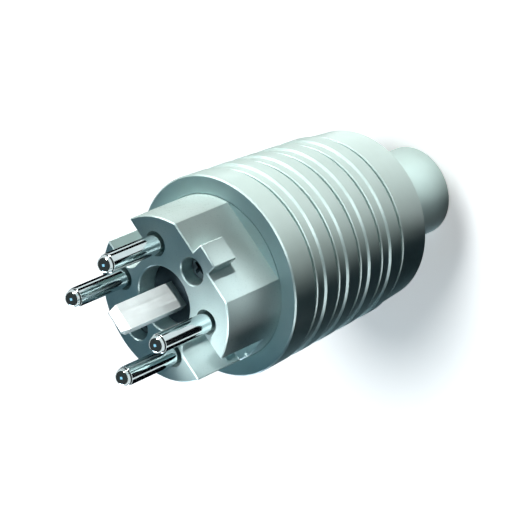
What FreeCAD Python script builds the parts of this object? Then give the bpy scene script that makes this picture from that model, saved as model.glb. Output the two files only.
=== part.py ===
import FreeCAD, Part
import math
import os

# Industrial plug. All sizes are millimetres.
# It stands on its cable outlet. Z = 0 is the outlet's end face and +Z runs up the axis to the pins.
# The keyed flat of the contact carrier faces -Y and its two guide slots face +X and -X.

# Heights along the axis
housing_rear_z = 24.2
housing_floor_z = 27.7
carrier_seat_z = 66.0
slot_end_z = 83.2
housing_front_z = 79.2
carrier_face_z = 98.2
total_height = 117.1

# Clearances
fit_gap = 0.05
carrier_gap = 0.15
outlet_gap = 0.1
screw_gap = 0.2

# Housing
rim_radius = 26.6
land_rear_radius = 24.8
band_front_radius = 24.3
band_rear_radius = 23.4
first_step_z = 71.3
rib_pitch = 8.85
groove_count = 4
groove_length = 4.5
groove_depth = 0.5
ramp_length = 0.5
edge_chamfer = 0.4
carrier_ledge = 1.4
cavity_taper = 0.8

# Cable outlet
outlet_end_radius = 12.4
outlet_straight = 4.6
outlet_waist_radius = 10.5
outlet_waist_z = 15.5
outlet_root_radius = 10.7
outlet_neck_radius = 9.4
outlet_flange_radius = 13.0
outlet_flange = 2.5
outlet_edge = 0.6
cable_radius = 7.0
cable_mouth_radius = 8.4
cable_mouth_depth = 6.0

# Contact carrier
carrier_radius = 21.6
flat_depth = 3.3
key_width = 6.5
key_height = 3.5
key_length = 7.9
slot_width = 11.0
slot_depth = 10.2
slot_corner_radius = 3.5
recess_margin = 12.9
recess_depth = 5.1
face_edge = 0.25

# Phase and neutral pins
pin_radius = 2.5
pin_edge_margin = 7.16
pin_angle = 36.553
pin_dome_radius = 2.25
pin_shoulder = 0.4
pin_shank_radius = 3.0
pin_neck_radius = 2.3
pin_neck = 0.8
pin_collar_radius = 3.6
collar_height = 2.0
pin_tail_radius = 2.0
tail_length = 6.0

# Earth blade and its plate
blade_width = 7.1
blade_thickness = 3.2
blade_face_y = -0.35
blade_reach = 16.3
blade_bevel = 1.5
blade_bevel_length = 2.0
blade_corner = 0.7
blade_flange_margin = 1.2
plate_gap = 0.3
plate_thickness = 1.5

# Fixing screws and their threaded inserts
screw_edge_margin = 7.5
screw_recess_radius = 3.65
screw_seat_depth = 5.4
screw_head_radius = 3.3
screw_head_height = 2.4
screw_cross_width = 1.1
screw_cross_depth = 1.3
screw_cross_length = 4.8
screw_radius = 2.0
screw_tip_z = 57.0
insert_radius = 2.9
insert_length = 10.0
insert_groove_depth = 0.35
insert_groove_length = 2.0
boss_radius = 4.2
boss_low_z = 42.0
boss_web_width = 6.0

# Terminals
terminal_radius = 4.2
terminal_height = 14.0
wire_hole_radius = 2.3
wire_hole_depth = 6.5
terminal_screw_radius = 1.75
terminal_screw_up = 3.2
terminal_screw_out = 0.8
terminal_screw_in = 0.5
driver_slot_width = 0.7
driver_slot_depth = 0.8
earth_terminal_radius = 5.2
earth_wire_hole_radius = 2.6

# Cord clamp
clamp_end_margin = 3.0
clamp_half_depth = 9.4
clamp_gap = 2.0
clamp_notch_radius = 6.6
clamp_height = 8.0
clamp_corner = 2.0
clamp_screw_radius = 1.7
clamp_screw_short = 1.4
clamp_head_radius = 2.9
clamp_head_height = 2.2
clamp_head_clearance = 0.12

# Places that follow from the sizes above
cavity_front_radius = carrier_radius - carrier_ledge
cavity_rear_radius = cavity_front_radius - cavity_taper
flat_distance = carrier_radius - flat_depth
slot_floor_distance = carrier_radius - slot_depth
recess_radius = carrier_radius - recess_margin
plate_radius = recess_radius - plate_gap
pin_circle_radius = carrier_radius - pin_edge_margin
pin_half_spacing_x = pin_circle_radius * math.cos(math.radians(pin_angle))
pin_half_spacing_y = pin_circle_radius * math.sin(math.radians(pin_angle))
collar_low_z = carrier_seat_z - collar_height
terminal_low_z = collar_low_z - terminal_height
tail_low_z = collar_low_z - tail_length
plate_top_z = carrier_face_z - recess_depth
plate_low_z = plate_top_z - plate_thickness
screw_seat_z = carrier_face_z - screw_seat_depth
clamp_low_z = housing_floor_z + outlet_flange
blade_centre_y = blade_face_y + blade_thickness / 2
pin_places = [
    (-pin_half_spacing_x, -pin_half_spacing_y),
    (pin_half_spacing_x, -pin_half_spacing_y),
    (pin_half_spacing_x, pin_half_spacing_y),
    (-pin_half_spacing_x, pin_half_spacing_y),
]
screw_distance = carrier_radius - screw_edge_margin
screw_places = [-screw_distance, screw_distance]

# The clamp screws sit as far out as their heads fit in the cavity
clamp_head_y = clamp_half_depth + clamp_head_height
clamp_head_reach = cavity_rear_radius - clamp_head_clearance
clamp_screw_x = math.sqrt(clamp_head_reach**2 - clamp_head_y**2) - clamp_head_radius
clamp_half_length = clamp_screw_x + clamp_end_margin
clamp_screw_length = 2 * clamp_half_depth - clamp_screw_short


def cylinder(radius, low, high, x=0.0, y=0.0):
    """An upright cylinder between two heights."""
    return Part.makeCylinder(radius, high - low, FreeCAD.Vector(x, y, low))


def box(x_low, x_high, y_low, y_high, z_low, z_high):
    """A box between its six limits."""
    corner = FreeCAD.Vector(x_low, y_low, z_low)
    return Part.makeBox(x_high - x_low, y_high - y_low, z_high - z_low, corner)


def turned(edges):
    """A closed profile of radius and height, turned round the Z axis."""
    face = Part.Face(Part.Wire(edges))
    return face.revolve(FreeCAD.Vector(0, 0, 0), FreeCAD.Vector(0, 0, 1), 360)


def straight_edges(points):
    """Lines through points of radius and height, in order."""
    corners = [FreeCAD.Vector(radius, 0, height) for radius, height in points]
    return [Part.makeLine(start, end) for start, end in zip(corners, corners[1:])]


def arc_edge(start, middle, end):
    """An arc through three points of radius and height."""
    places = [FreeCAD.Vector(radius, 0, height) for radius, height in (start, middle, end)]
    return Part.Arc(*places).toShape()


def turned_from_points(points):
    """A straight-sided profile turned round the Z axis."""
    return turned(straight_edges(points + points[:1]))


def save(name, shape):
    """Write one piece."""
    shape.removeSplitter().exportStep("parts/" + name + ".step")


def land_radius(height):
    """The housing's outer radius on its raised lands, which taper towards the rear."""
    last_step_z = first_step_z - groove_count * rib_pitch
    share = (height - last_step_z) / (housing_front_z - last_step_z)
    return land_rear_radius + share * (rim_radius - land_rear_radius)


def groove_points(step_z):
    """One groove, from its sharp front step to the ramp up to the next land."""
    land_start_z = step_z - groove_length
    ramp_start_z = land_start_z + ramp_length
    return [
        (land_radius(step_z), step_z),
        (land_radius(step_z) - groove_depth, step_z),
        (land_radius(ramp_start_z) - groove_depth, ramp_start_z),
        (land_radius(land_start_z), land_start_z),
    ]


def housing_outside():
    """The housing's outer line from the front rim to the rear edge."""
    points = [
        (rim_radius - edge_chamfer, housing_front_z),
        (rim_radius, housing_front_z - edge_chamfer),
    ]
    for index in range(groove_count):
        points += groove_points(first_step_z - index * rib_pitch)
    last_step_z = first_step_z - groove_count * rib_pitch
    points += [
        (land_rear_radius, last_step_z),
        (band_front_radius, last_step_z),
        (band_rear_radius, housing_rear_z + edge_chamfer),
        (band_rear_radius - edge_chamfer, housing_rear_z),
    ]
    return points


def housing_inside():
    """The housing's inner line from the rear hole up to the mouth."""
    hole_radius = outlet_neck_radius + outlet_gap
    mouth_radius = carrier_radius + carrier_gap
    return [
        (hole_radius, housing_rear_z),
        (hole_radius, housing_floor_z),
        (cavity_rear_radius, housing_floor_z),
        (cavity_front_radius, carrier_seat_z),
        (mouth_radius, carrier_seat_z),
        (mouth_radius, housing_front_z),
    ]


def screw_boss(side_y):
    """A boss on the housing's wall, bored for a threaded insert."""
    boss = cylinder(boss_radius, boss_low_z, carrier_seat_z, 0, side_y)
    wall_y = math.copysign(cavity_front_radius, side_y)
    y_low, y_high = sorted((side_y, wall_y))
    half_web = boss_web_width / 2
    web = box(-half_web, half_web, y_low, y_high, boss_low_z, carrier_seat_z)
    bore_low = carrier_seat_z - insert_length
    bore = cylinder(insert_radius + fit_gap, bore_low, carrier_seat_z, 0, side_y)
    screw_way = cylinder(screw_radius + screw_gap, boss_low_z, bore_low, 0, side_y)
    return boss.fuse(web), bore.fuse(screw_way)


def make_housing():
    """The ribbed shell with its rear hole and two screw bosses."""
    shell = turned_from_points(housing_outside() + housing_inside())
    for side_y in screw_places:
        boss, bore = screw_boss(side_y)
        shell = shell.fuse(boss).cut(bore)
    return shell


def make_cable_outlet():
    """The flared sleeve that guides the cord, held by its inner flange."""
    flange_top_z = housing_floor_z + outlet_flange
    flare_start = (outlet_end_radius, outlet_straight)
    root = (outlet_root_radius, housing_rear_z)
    waist = (outlet_waist_radius, outlet_waist_z)
    edges = [arc_edge(flare_start, waist, root)]
    edges += straight_edges([
        root,
        (outlet_neck_radius, housing_rear_z),
        (outlet_neck_radius, housing_floor_z),
        (outlet_flange_radius, housing_floor_z),
        (outlet_flange_radius, flange_top_z),
        (cable_radius, flange_top_z),
        (cable_radius, cable_mouth_depth),
        (cable_mouth_radius, 0.0),
        (outlet_end_radius - outlet_edge, 0.0),
        (outlet_end_radius, outlet_edge),
        flare_start,
    ])
    return turned(edges)


def carrier_outline():
    """The carrier's body with its flat, key and chamfered front edge."""
    lower = cylinder(carrier_radius, carrier_seat_z, housing_front_z)
    front = cylinder(carrier_radius, housing_front_z, carrier_face_z)
    reach = 2 * carrier_radius
    flat_cut = box(-reach, reach, -reach, -flat_distance, housing_front_z, carrier_face_z)
    half_key = key_width / 2
    key_low_z = carrier_face_z - key_length
    key_outer_y = -flat_distance - key_height
    key = box(-half_key, half_key, key_outer_y, 0, key_low_z, carrier_face_z)
    return lower.fuse(front.cut(flat_cut)).fuse(key)


def guide_slot(side):
    """The space of one guide slot, on the +X or -X side, with rounded inner corners."""
    x_low, x_high = sorted((side * slot_floor_distance, side * 2 * carrier_radius))
    half_slot = slot_width / 2
    space = box(x_low, x_high, -half_slot, half_slot, slot_end_z, carrier_face_z)
    floor_x = side * slot_floor_distance
    inner = [
        edge
        for edge in space.Edges
        if all(abs(vertex.X - floor_x) < fit_gap for vertex in edge.Vertexes)
        and abs(edge.tangentAt(edge.FirstParameter).z) > 0.5
    ]
    return space.makeFillet(slot_corner_radius, inner)


def front_edges(shape):
    """The straight and curved edges round the carrier's front face, without its round holes."""
    chosen = []
    for edge in shape.Edges:
        ends = [vertex.Z for vertex in edge.Vertexes]
        on_face = all(abs(height - carrier_face_z) < fit_gap for height in ends)
        if on_face and len(ends) == 2:
            chosen.append(edge)
    return chosen


def pin_hole(x, y):
    """A pin's bore through the carrier."""
    return cylinder(pin_shank_radius + fit_gap, carrier_seat_z, carrier_face_z, x, y)


def blade_hole(z_low, z_high):
    """The blade's slot through a wall, with the fit gap all round."""
    half_width = blade_width / 2 + fit_gap
    y_low = blade_face_y - fit_gap
    y_high = blade_face_y + blade_thickness + fit_gap
    return box(-half_width, half_width, y_low, y_high, z_low, z_high)


def make_contact_carrier():
    """The insulating insert that holds the pins and the blade."""
    carrier = carrier_outline()
    for side in (-1, 1):
        carrier = carrier.cut(guide_slot(side))
    carrier = carrier.removeSplitter()
    carrier = carrier.makeChamfer(face_edge, front_edges(carrier))
    carrier = carrier.cut(cylinder(recess_radius, plate_low_z, carrier_face_z))
    carrier = carrier.cut(blade_hole(carrier_seat_z, plate_low_z))
    for x, y in pin_places:
        carrier = carrier.cut(pin_hole(x, y))
    for y in screw_places:
        carrier = carrier.cut(cylinder(screw_recess_radius, screw_seat_z, carrier_face_z, 0, y))
        carrier = carrier.cut(cylinder(screw_radius + screw_gap, carrier_seat_z, screw_seat_z, 0, y))
    return carrier


def make_pin(x, y):
    """A pin with a domed tip, a neck and a shank in the carrier, a collar and a tail for its terminal."""
    dome_base_z = total_height - pin_dome_radius
    diagonal = pin_dome_radius * math.sqrt(0.5)
    shank_top_z = carrier_face_z - pin_neck
    dome_base = (pin_dome_radius, dome_base_z)
    tip = (0.0, total_height)
    edges = [arc_edge(dome_base, (diagonal, dome_base_z + diagonal), tip)]
    edges += straight_edges([
        tip,
        (0.0, tail_low_z),
        (pin_tail_radius, tail_low_z),
        (pin_tail_radius, collar_low_z),
        (pin_collar_radius, collar_low_z),
        (pin_collar_radius, carrier_seat_z),
        (pin_shank_radius, carrier_seat_z),
        (pin_shank_radius, shank_top_z),
        (pin_neck_radius, shank_top_z),
        (pin_neck_radius, carrier_face_z),
        (pin_radius, carrier_face_z),
        (pin_radius, dome_base_z - pin_shoulder),
        dome_base,
    ])
    pin = turned(edges)
    pin.translate(FreeCAD.Vector(x, y, 0))
    return pin


def blade_side_outline(tip_z):
    """The blade's thickness seen from the side, with both faces bevelled at the tip."""
    y_low = blade_face_y
    y_high = blade_face_y + blade_thickness
    return [
        (y_low, tail_low_z),
        (y_low, tip_z - blade_bevel_length),
        (y_low + blade_bevel, tip_z),
        (y_high - blade_bevel, tip_z),
        (y_high, tip_z - blade_bevel_length),
        (y_high, tail_low_z),
    ]


def blade_corner_cut(side, tip_z):
    """The wedge taken off one corner of the blade's tip."""
    edge_x = side * blade_width / 2
    corners = [
        FreeCAD.Vector(edge_x, blade_face_y, tip_z - blade_bevel_length),
        FreeCAD.Vector(edge_x, blade_face_y, tip_z),
        FreeCAD.Vector(edge_x - side * blade_corner, blade_face_y, tip_z),
    ]
    face = Part.Face(Part.makePolygon(corners + corners[:1]))
    return face.extrude(FreeCAD.Vector(0, blade_thickness, 0))


def make_earth_blade():
    """The flat earth blade, bevelled at the tip, with a flange behind the carrier."""
    tip_z = carrier_face_z + blade_reach
    half_width = blade_width / 2
    outline = [FreeCAD.Vector(-half_width, y, z) for y, z in blade_side_outline(tip_z)]
    side_face = Part.Face(Part.makePolygon(outline + outline[:1]))
    blade = side_face.extrude(FreeCAD.Vector(blade_width, 0, 0))
    for side in (-1, 1):
        blade = blade.cut(blade_corner_cut(side, tip_z))
    flange_x = half_width + blade_flange_margin
    flange_y = blade_thickness / 2 + blade_flange_margin
    flange = box(
        -flange_x,
        flange_x,
        blade_centre_y - flange_y,
        blade_centre_y + flange_y,
        collar_low_z,
        carrier_seat_z,
    )
    return blade.fuse(flange)


def make_earth_plate():
    """The disc on the floor of the recess, which the blade comes through."""
    disc = cylinder(plate_radius, plate_low_z, plate_top_z)
    return disc.cut(blade_hole(plate_low_z, plate_top_z))


def cross_recess(y, top_z):
    """The cross-shaped driver recess in a screw head."""
    half_width = screw_cross_width / 2
    half_length = screw_cross_length / 2
    low = top_z - screw_cross_depth
    along_x = box(-half_length, half_length, y - half_width, y + half_width, low, top_z)
    along_y = box(-half_width, half_width, y - half_length, y + half_length, low, top_z)
    return along_x.fuse(along_y)


def make_fixing_screw(y):
    """A screw that holds the carrier down in the housing."""
    head_top_z = screw_seat_z + screw_head_height
    head = cylinder(screw_head_radius, screw_seat_z, head_top_z, 0, y)
    head = head.cut(cross_recess(y, head_top_z))
    return head.fuse(cylinder(screw_radius, screw_tip_z, screw_seat_z, 0, y))


def make_threaded_insert(y):
    """A brass insert in a housing boss, with a grip groove round it."""
    low = carrier_seat_z - insert_length
    body = cylinder(insert_radius, low, carrier_seat_z, 0, y)
    body = body.cut(cylinder(screw_radius + fit_gap, low, carrier_seat_z, 0, y))
    middle_z = (low + carrier_seat_z) / 2
    groove_low = middle_z - insert_groove_length / 2
    groove_high = middle_z + insert_groove_length / 2
    groove = cylinder(insert_radius, groove_low, groove_high, 0, y)
    core = cylinder(insert_radius - insert_groove_depth, groove_low, groove_high, 0, y)
    return body.cut(groove.cut(core))


def side_cylinder(radius, centre, direction, start, end):
    """A cylinder lying along a level direction, between two distances from a centre."""
    base = centre + direction * start
    return Part.makeCylinder(radius, end - start, base, direction)


def terminal_screw_centre(x, y):
    """Where a terminal's screw axis crosses the terminal's own axis."""
    return FreeCAD.Vector(x, y, terminal_low_z + terminal_screw_up)


def make_terminal(x, y, radius, wire_radius, direction, socket):
    """A terminal block with a socket above, a wire hole below and a screw hole at its side."""
    block = cylinder(radius, terminal_low_z, collar_low_z, x, y)
    wire_top_z = terminal_low_z + wire_hole_depth
    block = block.cut(cylinder(wire_radius, terminal_low_z, wire_top_z, x, y))
    block = block.cut(socket)
    centre = terminal_screw_centre(x, y)
    hole = side_cylinder(terminal_screw_radius + fit_gap, centre, direction, 0, radius)
    return block.cut(hole)


def make_terminal_screw(x, y, radius, direction):
    """A headless screw that grips the wire, with a driver slot in its outer end."""
    centre = terminal_screw_centre(x, y)
    end = radius + terminal_screw_out
    screw = side_cylinder(terminal_screw_radius, centre, direction, terminal_screw_in, end)
    slot_centre = centre + direction * (end - driver_slot_depth / 2)
    half_width = driver_slot_width / 2
    half_x = half_width + abs(direction.x) * (driver_slot_depth / 2 - half_width)
    half_y = half_width + abs(direction.y) * (driver_slot_depth / 2 - half_width)
    slot = box(
        slot_centre.x - half_x,
        slot_centre.x + half_x,
        slot_centre.y - half_y,
        slot_centre.y + half_y,
        slot_centre.z - terminal_screw_radius,
        slot_centre.z + terminal_screw_radius,
    )
    return screw.cut(slot)


def pin_socket(x, y):
    """The socket in a terminal that takes a pin's tail."""
    return cylinder(pin_tail_radius + fit_gap, tail_low_z - fit_gap, collar_low_z, x, y)


def clamp_jaw(y_low, y_high):
    """One jaw of the cord clamp, with a half-round notch for the cord and corners cut back."""
    clamp_top_z = clamp_low_z + clamp_height
    half = clamp_half_length
    jaw = box(-half, half, y_low, y_high, clamp_low_z, clamp_top_z)
    upright = [edge for edge in jaw.Edges if abs(edge.tangentAt(edge.FirstParameter).z) > 0.5]
    outer_y = max(abs(y_low), abs(y_high))
    outer = [edge for edge in upright if abs(abs(edge.CenterOfMass.y) - outer_y) < fit_gap]
    jaw = jaw.makeChamfer(clamp_corner, outer)
    return jaw.cut(cylinder(clamp_notch_radius, clamp_low_z, clamp_top_z))


def clamp_screw_axis(x, y):
    """The start of a clamp screw's axis, at middle height of the jaws."""
    return FreeCAD.Vector(x, y, clamp_low_z + clamp_height / 2)


def bored_jaw(y_low, y_high, gap):
    """A clamp jaw with its two screw holes."""
    jaw = clamp_jaw(y_low, y_high)
    along_y = FreeCAD.Vector(0, 1, 0)
    for x in (-clamp_screw_x, clamp_screw_x):
        start = clamp_screw_axis(x, y_low)
        jaw = jaw.cut(Part.makeCylinder(clamp_screw_radius + gap, y_high - y_low, start, along_y))
    return jaw


def make_clamp_screw(x):
    """A clamp screw with a slotted head, driven along +Y."""
    along_y = FreeCAD.Vector(0, 1, 0)
    seat = clamp_screw_axis(x, -clamp_half_depth)
    head_start = clamp_screw_axis(x, -clamp_head_y)
    head = Part.makeCylinder(clamp_head_radius, clamp_head_height, head_start, along_y)
    half_width = driver_slot_width / 2
    slot = box(
        x - half_width,
        x + half_width,
        head_start.y,
        head_start.y + driver_slot_depth,
        seat.z - clamp_head_radius,
        seat.z + clamp_head_radius,
    )
    shank = Part.makeCylinder(clamp_screw_radius, clamp_screw_length, seat, along_y)
    return head.cut(slot).fuse(shank)


def save_outer_pieces():
    """The pieces that can be seen from outside."""
    save("housing", make_housing())
    save("cable_outlet", make_cable_outlet())
    save("contact_carrier", make_contact_carrier())
    save("earth_blade", make_earth_blade())
    save("earth_plate", make_earth_plate())
    for number, (x, y) in enumerate(pin_places, 1):
        save("pin_%d" % number, make_pin(x, y))
    for number, y in enumerate(screw_places, 1):
        save("fixing_screw_%d" % number, make_fixing_screw(y))
        save("threaded_insert_%d" % number, make_threaded_insert(y))


def save_terminals():
    """The four pin terminals and the earth terminal, each with its screw."""
    for number, (x, y) in enumerate(pin_places, 1):
        direction = FreeCAD.Vector(math.copysign(1, x), 0, 0)
        socket = pin_socket(x, y)
        block = make_terminal(x, y, terminal_radius, wire_hole_radius, direction, socket)
        save("pin_terminal_%d" % number, block)
        screw = make_terminal_screw(x, y, terminal_radius, direction)
        save("terminal_screw_%d" % number, screw)
    direction = FreeCAD.Vector(0, 1, 0)
    socket = blade_hole(tail_low_z - fit_gap, collar_low_z)
    place = (0.0, blade_centre_y, earth_terminal_radius)
    save("earth_terminal", make_terminal(*place, earth_wire_hole_radius, direction, socket))
    save("earth_terminal_screw", make_terminal_screw(*place, direction))


def save_cord_clamp():
    """The two jaws that grip the cord and their screws."""
    save("cord_clamp_bar", bored_jaw(-clamp_half_depth, -clamp_gap / 2, screw_gap))
    save("cord_clamp_saddle", bored_jaw(clamp_gap / 2, clamp_half_depth, fit_gap))
    for number, x in enumerate((-clamp_screw_x, clamp_screw_x), 1):
        save("clamp_screw_%d" % number, make_clamp_screw(x))


os.makedirs("parts", exist_ok=True)
save_outer_pieces()
save_terminals()
save_cord_clamp()
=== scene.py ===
"""The looks of an industrial plug: its detailed pieces, their finishes and a small studio."""

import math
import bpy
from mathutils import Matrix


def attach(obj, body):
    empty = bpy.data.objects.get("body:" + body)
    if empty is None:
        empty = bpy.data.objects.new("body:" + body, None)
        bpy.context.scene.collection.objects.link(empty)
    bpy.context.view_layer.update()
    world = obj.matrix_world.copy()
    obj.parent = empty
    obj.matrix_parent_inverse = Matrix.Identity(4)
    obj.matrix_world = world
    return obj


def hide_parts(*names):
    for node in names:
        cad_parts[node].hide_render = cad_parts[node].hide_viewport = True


bl_info = {
    "name": "Industrial plug",
    "version": (1, 0, 0),
    "blender": (4, 5, 0),
    "location": "3D View > Sidebar > Plug",
    "description": "Models the pieces of an industrial plug, their finishes and a plain studio",
    "category": "Add Mesh",
}

import bmesh
import bpy
from mathutils import Matrix, Vector

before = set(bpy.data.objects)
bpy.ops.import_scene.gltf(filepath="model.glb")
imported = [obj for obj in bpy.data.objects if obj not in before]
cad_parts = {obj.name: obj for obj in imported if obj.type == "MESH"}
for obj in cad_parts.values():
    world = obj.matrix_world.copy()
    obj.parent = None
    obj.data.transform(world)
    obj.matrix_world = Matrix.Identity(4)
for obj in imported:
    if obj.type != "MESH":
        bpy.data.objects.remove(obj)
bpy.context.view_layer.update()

MM = 0.001

# Heights along the axis in millimetres, from the cable outlet's end face
housing_rear = 24.2
housing_floor = 27.7
boss_low = 42.0
insert_low = 56.0
screw_tip = 57.0
pin_tail = 58.0
collar_low = 64.0
carrier_seat = 66.0
housing_front = 79.2
slot_end = 83.2
plate_low = 91.6
screw_seat = 92.8
plate_top = 93.1
shank_top = 95.6
carrier_face = 98.2
blade_tip = 114.5
pin_tip = 117.1

# Housing radii, ribs and bosses in millimetres
rim_radius = 26.6
rim_chamfer = 0.35
land_rear_radius = 24.8
band_front_radius = 24.3
band_rear_radius = 23.4
cavity_front_radius = 20.2
cavity_rear_radius = 19.4
outlet_hole_radius = 9.5
mouth_radius = 21.75
first_step = 71.3
rib_pitch = 8.85
groove_count = 4
groove_length = 4.5
notch_width = 1.3
boss_radius = 4.2
boss_half_web = 3.0
insert_bore_radius = 2.95

# Cable outlet in millimetres
outlet_end_radius = 12.4
outlet_root_radius = 10.7
outlet_neck_radius = 9.4
outlet_straight = 5.6
outlet_waist = 0.28
flange_radius = 13.0
flange_height = 2.5
cable_radius = 7.0
cable_mouth_radius = 8.4
cable_mouth_depth = 6.0

# Contact carrier and its plate in millimetres
carrier_radius = 21.6
base_radius = 21.65
flat_distance = 18.3
key_width = 6.5
key_outer = 21.8
key_length = 7.9
slot_width = 11.0
slot_floor = 11.4
slot_corner = 3.5
recess_radius = 8.7
pin_bore_radius = 3.05
pin_bore_mouth = 3.25
plate_radius = 8.4
plate_edge = 0.35

# Pins and blade in millimetres
pin_places = [(-11.6, -8.6), (11.6, -8.6), (11.6, 8.6), (-11.6, 8.6)]
pin_radius = 2.5
pin_shoulder = 0.4
shank_radius = 3.0
collar_radius = 3.6
tail_radius = 2.0
blade_half_width = 3.55
blade_near = -0.35
blade_far = 2.85
blade_flange = 1.2
blade_gap = 0.05

# Fixing screws in millimetres
screw_places = [(0.0, -14.1), (0.0, 14.1)]
screw_recess_radius = 3.65
screw_way_radius = 2.2
screw_radius = 2.0
screw_head_radius = 3.3
screw_head_height = 2.4
cross_depth = 1.3
cross_arms = [(0.55, 2.4), (2.4, 0.55)]
thread_pitch = 0.7
thread_depth = 0.35

# Steps round the large turned pieces, and how far a cut runs past the face that it opens
turn_steps = 192
overshoot = 1.0

# Studio in metres, with lamp places as azimuth and elevation in degrees
plug_middle = 0.065
lamp_distance = 0.7
top_distance = 0.42
accent_distance = 0.45
key_size = (0.2, 0.12)
key_colour = "FFFAF4"
edge_size = (0.35, 0.25)
edge_colour = "E8FFFF"
camera_place = (-0.1084, -0.43309, 0.47793)
camera_target = (0.00067, 0.00173, 0.06198)
camera_roll = -113.632
camera_lens = 166.27

# Names of the three large mouldings
housing_name = "ribbed_housing"
outlet_name = "flared_cable_outlet"
carrier_name = "keyed_contact_carrier"


def linear(hex_colour):
    """An sRGB hex colour as the linear colour that the shaders take."""
    values = [int(hex_colour[index : index + 2], 16) / 255 for index in (0, 2, 4)]
    return tuple(v / 12.92 if v <= 0.04045 else ((v + 0.055) / 1.055) ** 2.4 for v in values) + (1.0,)


class PlugSizes(bpy.types.PropertyGroup):
    """Sizes of the plug's details."""

    groove_depth: bpy.props.FloatProperty(
        name="Groove depth",
        description="How far the grooves lie below the housing's lands",
        default=0.5 * MM,
        min=0.1 * MM,
        unit="LENGTH",
    )
    ramp_length: bpy.props.FloatProperty(
        name="Ramp length",
        description="Length of the ramp from a groove's floor up to the next land",
        default=0.5 * MM,
        min=0.1 * MM,
        unit="LENGTH",
    )
    notch_depth: bpy.props.FloatProperty(
        name="Notch depth",
        description="Depth of the fine notch behind each step, below the groove's floor",
        default=1.1 * MM,
        min=0.05 * MM,
        unit="LENGTH",
    )
    housing_edge: bpy.props.FloatProperty(
        name="Housing edge",
        description="Chamfer on the housing's edges",
        default=0.22 * MM,
        min=0.02 * MM,
        unit="LENGTH",
    )
    carrier_edge: bpy.props.FloatProperty(
        name="Carrier edge",
        description="Chamfer on the contact carrier's edges",
        default=0.28 * MM,
        min=0.02 * MM,
        unit="LENGTH",
    )
    pin_dome: bpy.props.FloatProperty(
        name="Pin dome",
        description="Radius of the round tip of each pin",
        default=2.2 * MM,
        min=1.0 * MM,
        unit="LENGTH",
    )
    blade_bevel: bpy.props.FloatProperty(
        name="Blade bevel",
        description="Length of the bevels at the earth blade's tip",
        default=2.0 * MM,
        min=0.2 * MM,
        unit="LENGTH",
    )


class PlugColours(bpy.types.PropertyGroup):
    """Colours of the plug's finishes."""

    housing: bpy.props.FloatVectorProperty(
        name="Housing",
        description="Moulded plastic of the housing",
        subtype="COLOR",
        size=4,
        default=linear("BDD4D3"),
    )
    carrier: bpy.props.FloatVectorProperty(
        name="Contact carrier",
        description="Moulded plastic of the contact carrier",
        subtype="COLOR",
        size=4,
        default=linear("BFD6D5"),
    )
    outlet: bpy.props.FloatVectorProperty(
        name="Cable outlet",
        description="Softer moulded plastic of the cable outlet",
        subtype="COLOR",
        size=4,
        default=linear("C2DCDA"),
    )
    bright_nickel: bpy.props.FloatVectorProperty(
        name="Bright nickel",
        description="Bright plating of the pins",
        subtype="COLOR",
        size=4,
        default=linear("C4CFD0"),
    )
    nickel: bpy.props.FloatVectorProperty(
        name="Satin nickel",
        description="Satin plating of the blade",
        subtype="COLOR",
        size=4,
        default=linear("E4E9E8"),
    )
    # The plate's dark steel colour is made darker still as painted shade for the recess it lies in
    plate: bpy.props.FloatVectorProperty(
        name="Earth plate",
        description="Dull steel of the plate in the recess",
        subtype="COLOR",
        size=4,
        default=linear("424D54"),
    )


class StudioSettings(bpy.types.PropertyGroup):
    """Strengths of the studio lights."""

    key_power: bpy.props.FloatProperty(
        name="Key light",
        description="Power of the light on the housing's keyed side",
        default=7.2,
        min=0.0,
        unit="POWER",
    )
    front_power: bpy.props.FloatProperty(
        name="Front light",
        description="Power of the same light for the contact carrier",
        default=6.9,
        min=0.0,
        unit="POWER",
    )
    rear_power: bpy.props.FloatProperty(
        name="Rear light",
        description="Power of the same light for the cable outlet",
        default=4.4,
        min=0.0,
        unit="POWER",
    )
    top_power: bpy.props.FloatProperty(
        name="Top light",
        description="Power of the cool soft light over the pins",
        default=0.19,
        min=0.0,
        unit="POWER",
    )
    back_power: bpy.props.FloatProperty(
        name="Back light",
        description="Power of the cool soft light behind the plug",
        default=3.0,
        min=0.0,
        unit="POWER",
    )
    edge_power: bpy.props.FloatProperty(
        name="Edge lights",
        description="Power of the lights that show only on the mouldings' edges",
        default=8.0,
        min=0.0,
        unit="POWER",
    )
    tip_power: bpy.props.FloatProperty(
        name="Tip light",
        description="Power of the narrow light on the corner of the front face",
        default=9.5,
        min=0.0,
        unit="POWER",
    )
    slot_power: bpy.props.FloatProperty(
        name="Slot light",
        description="Power of the narrow light in the guide slot",
        default=12.0,
        min=0.0,
        unit="POWER",
    )
    flat_power: bpy.props.FloatProperty(
        name="Flat light",
        description="Power of the narrow light on the keyed flat",
        default=12.0,
        min=0.0,
        unit="POWER",
    )
    blade_power: bpy.props.FloatProperty(
        name="Blade light",
        description="Power of the narrow light on the earth blade",
        default=13.0,
        min=0.0,
        unit="POWER",
    )
    outlet_power: bpy.props.FloatProperty(
        name="Outlet light",
        description="Power of the narrow light on the cable outlet",
        default=5.4,
        min=0.0,
        unit="POWER",
    )
    floor_strength: bpy.props.FloatProperty(
        name="Floor light",
        description="Strength of the high soft light that casts the plug's shadow on the floor",
        default=2.5,
        min=0.0,
    )
    fill_strength: bpy.props.FloatProperty(
        name="Fill",
        description="Strength of the even light from all round",
        default=0.02,
        min=0.0,
    )
    ceiling_strength: bpy.props.FloatProperty(
        name="Ceiling",
        description="Brightness of the ceiling that shows only in reflections",
        default=0.08,
        min=0.0,
    )


def deselect_everything():
    """Leaves edit mode and deselects every object."""
    if bpy.context.object and bpy.context.object.mode != "OBJECT":
        bpy.ops.object.mode_set(mode="OBJECT")
    bpy.ops.object.select_all(action="DESELECT")


def make_active(piece):
    """Selects one object alone and makes it the active one."""
    deselect_everything()
    piece.select_set(True)
    bpy.context.view_layer.objects.active = piece


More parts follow.
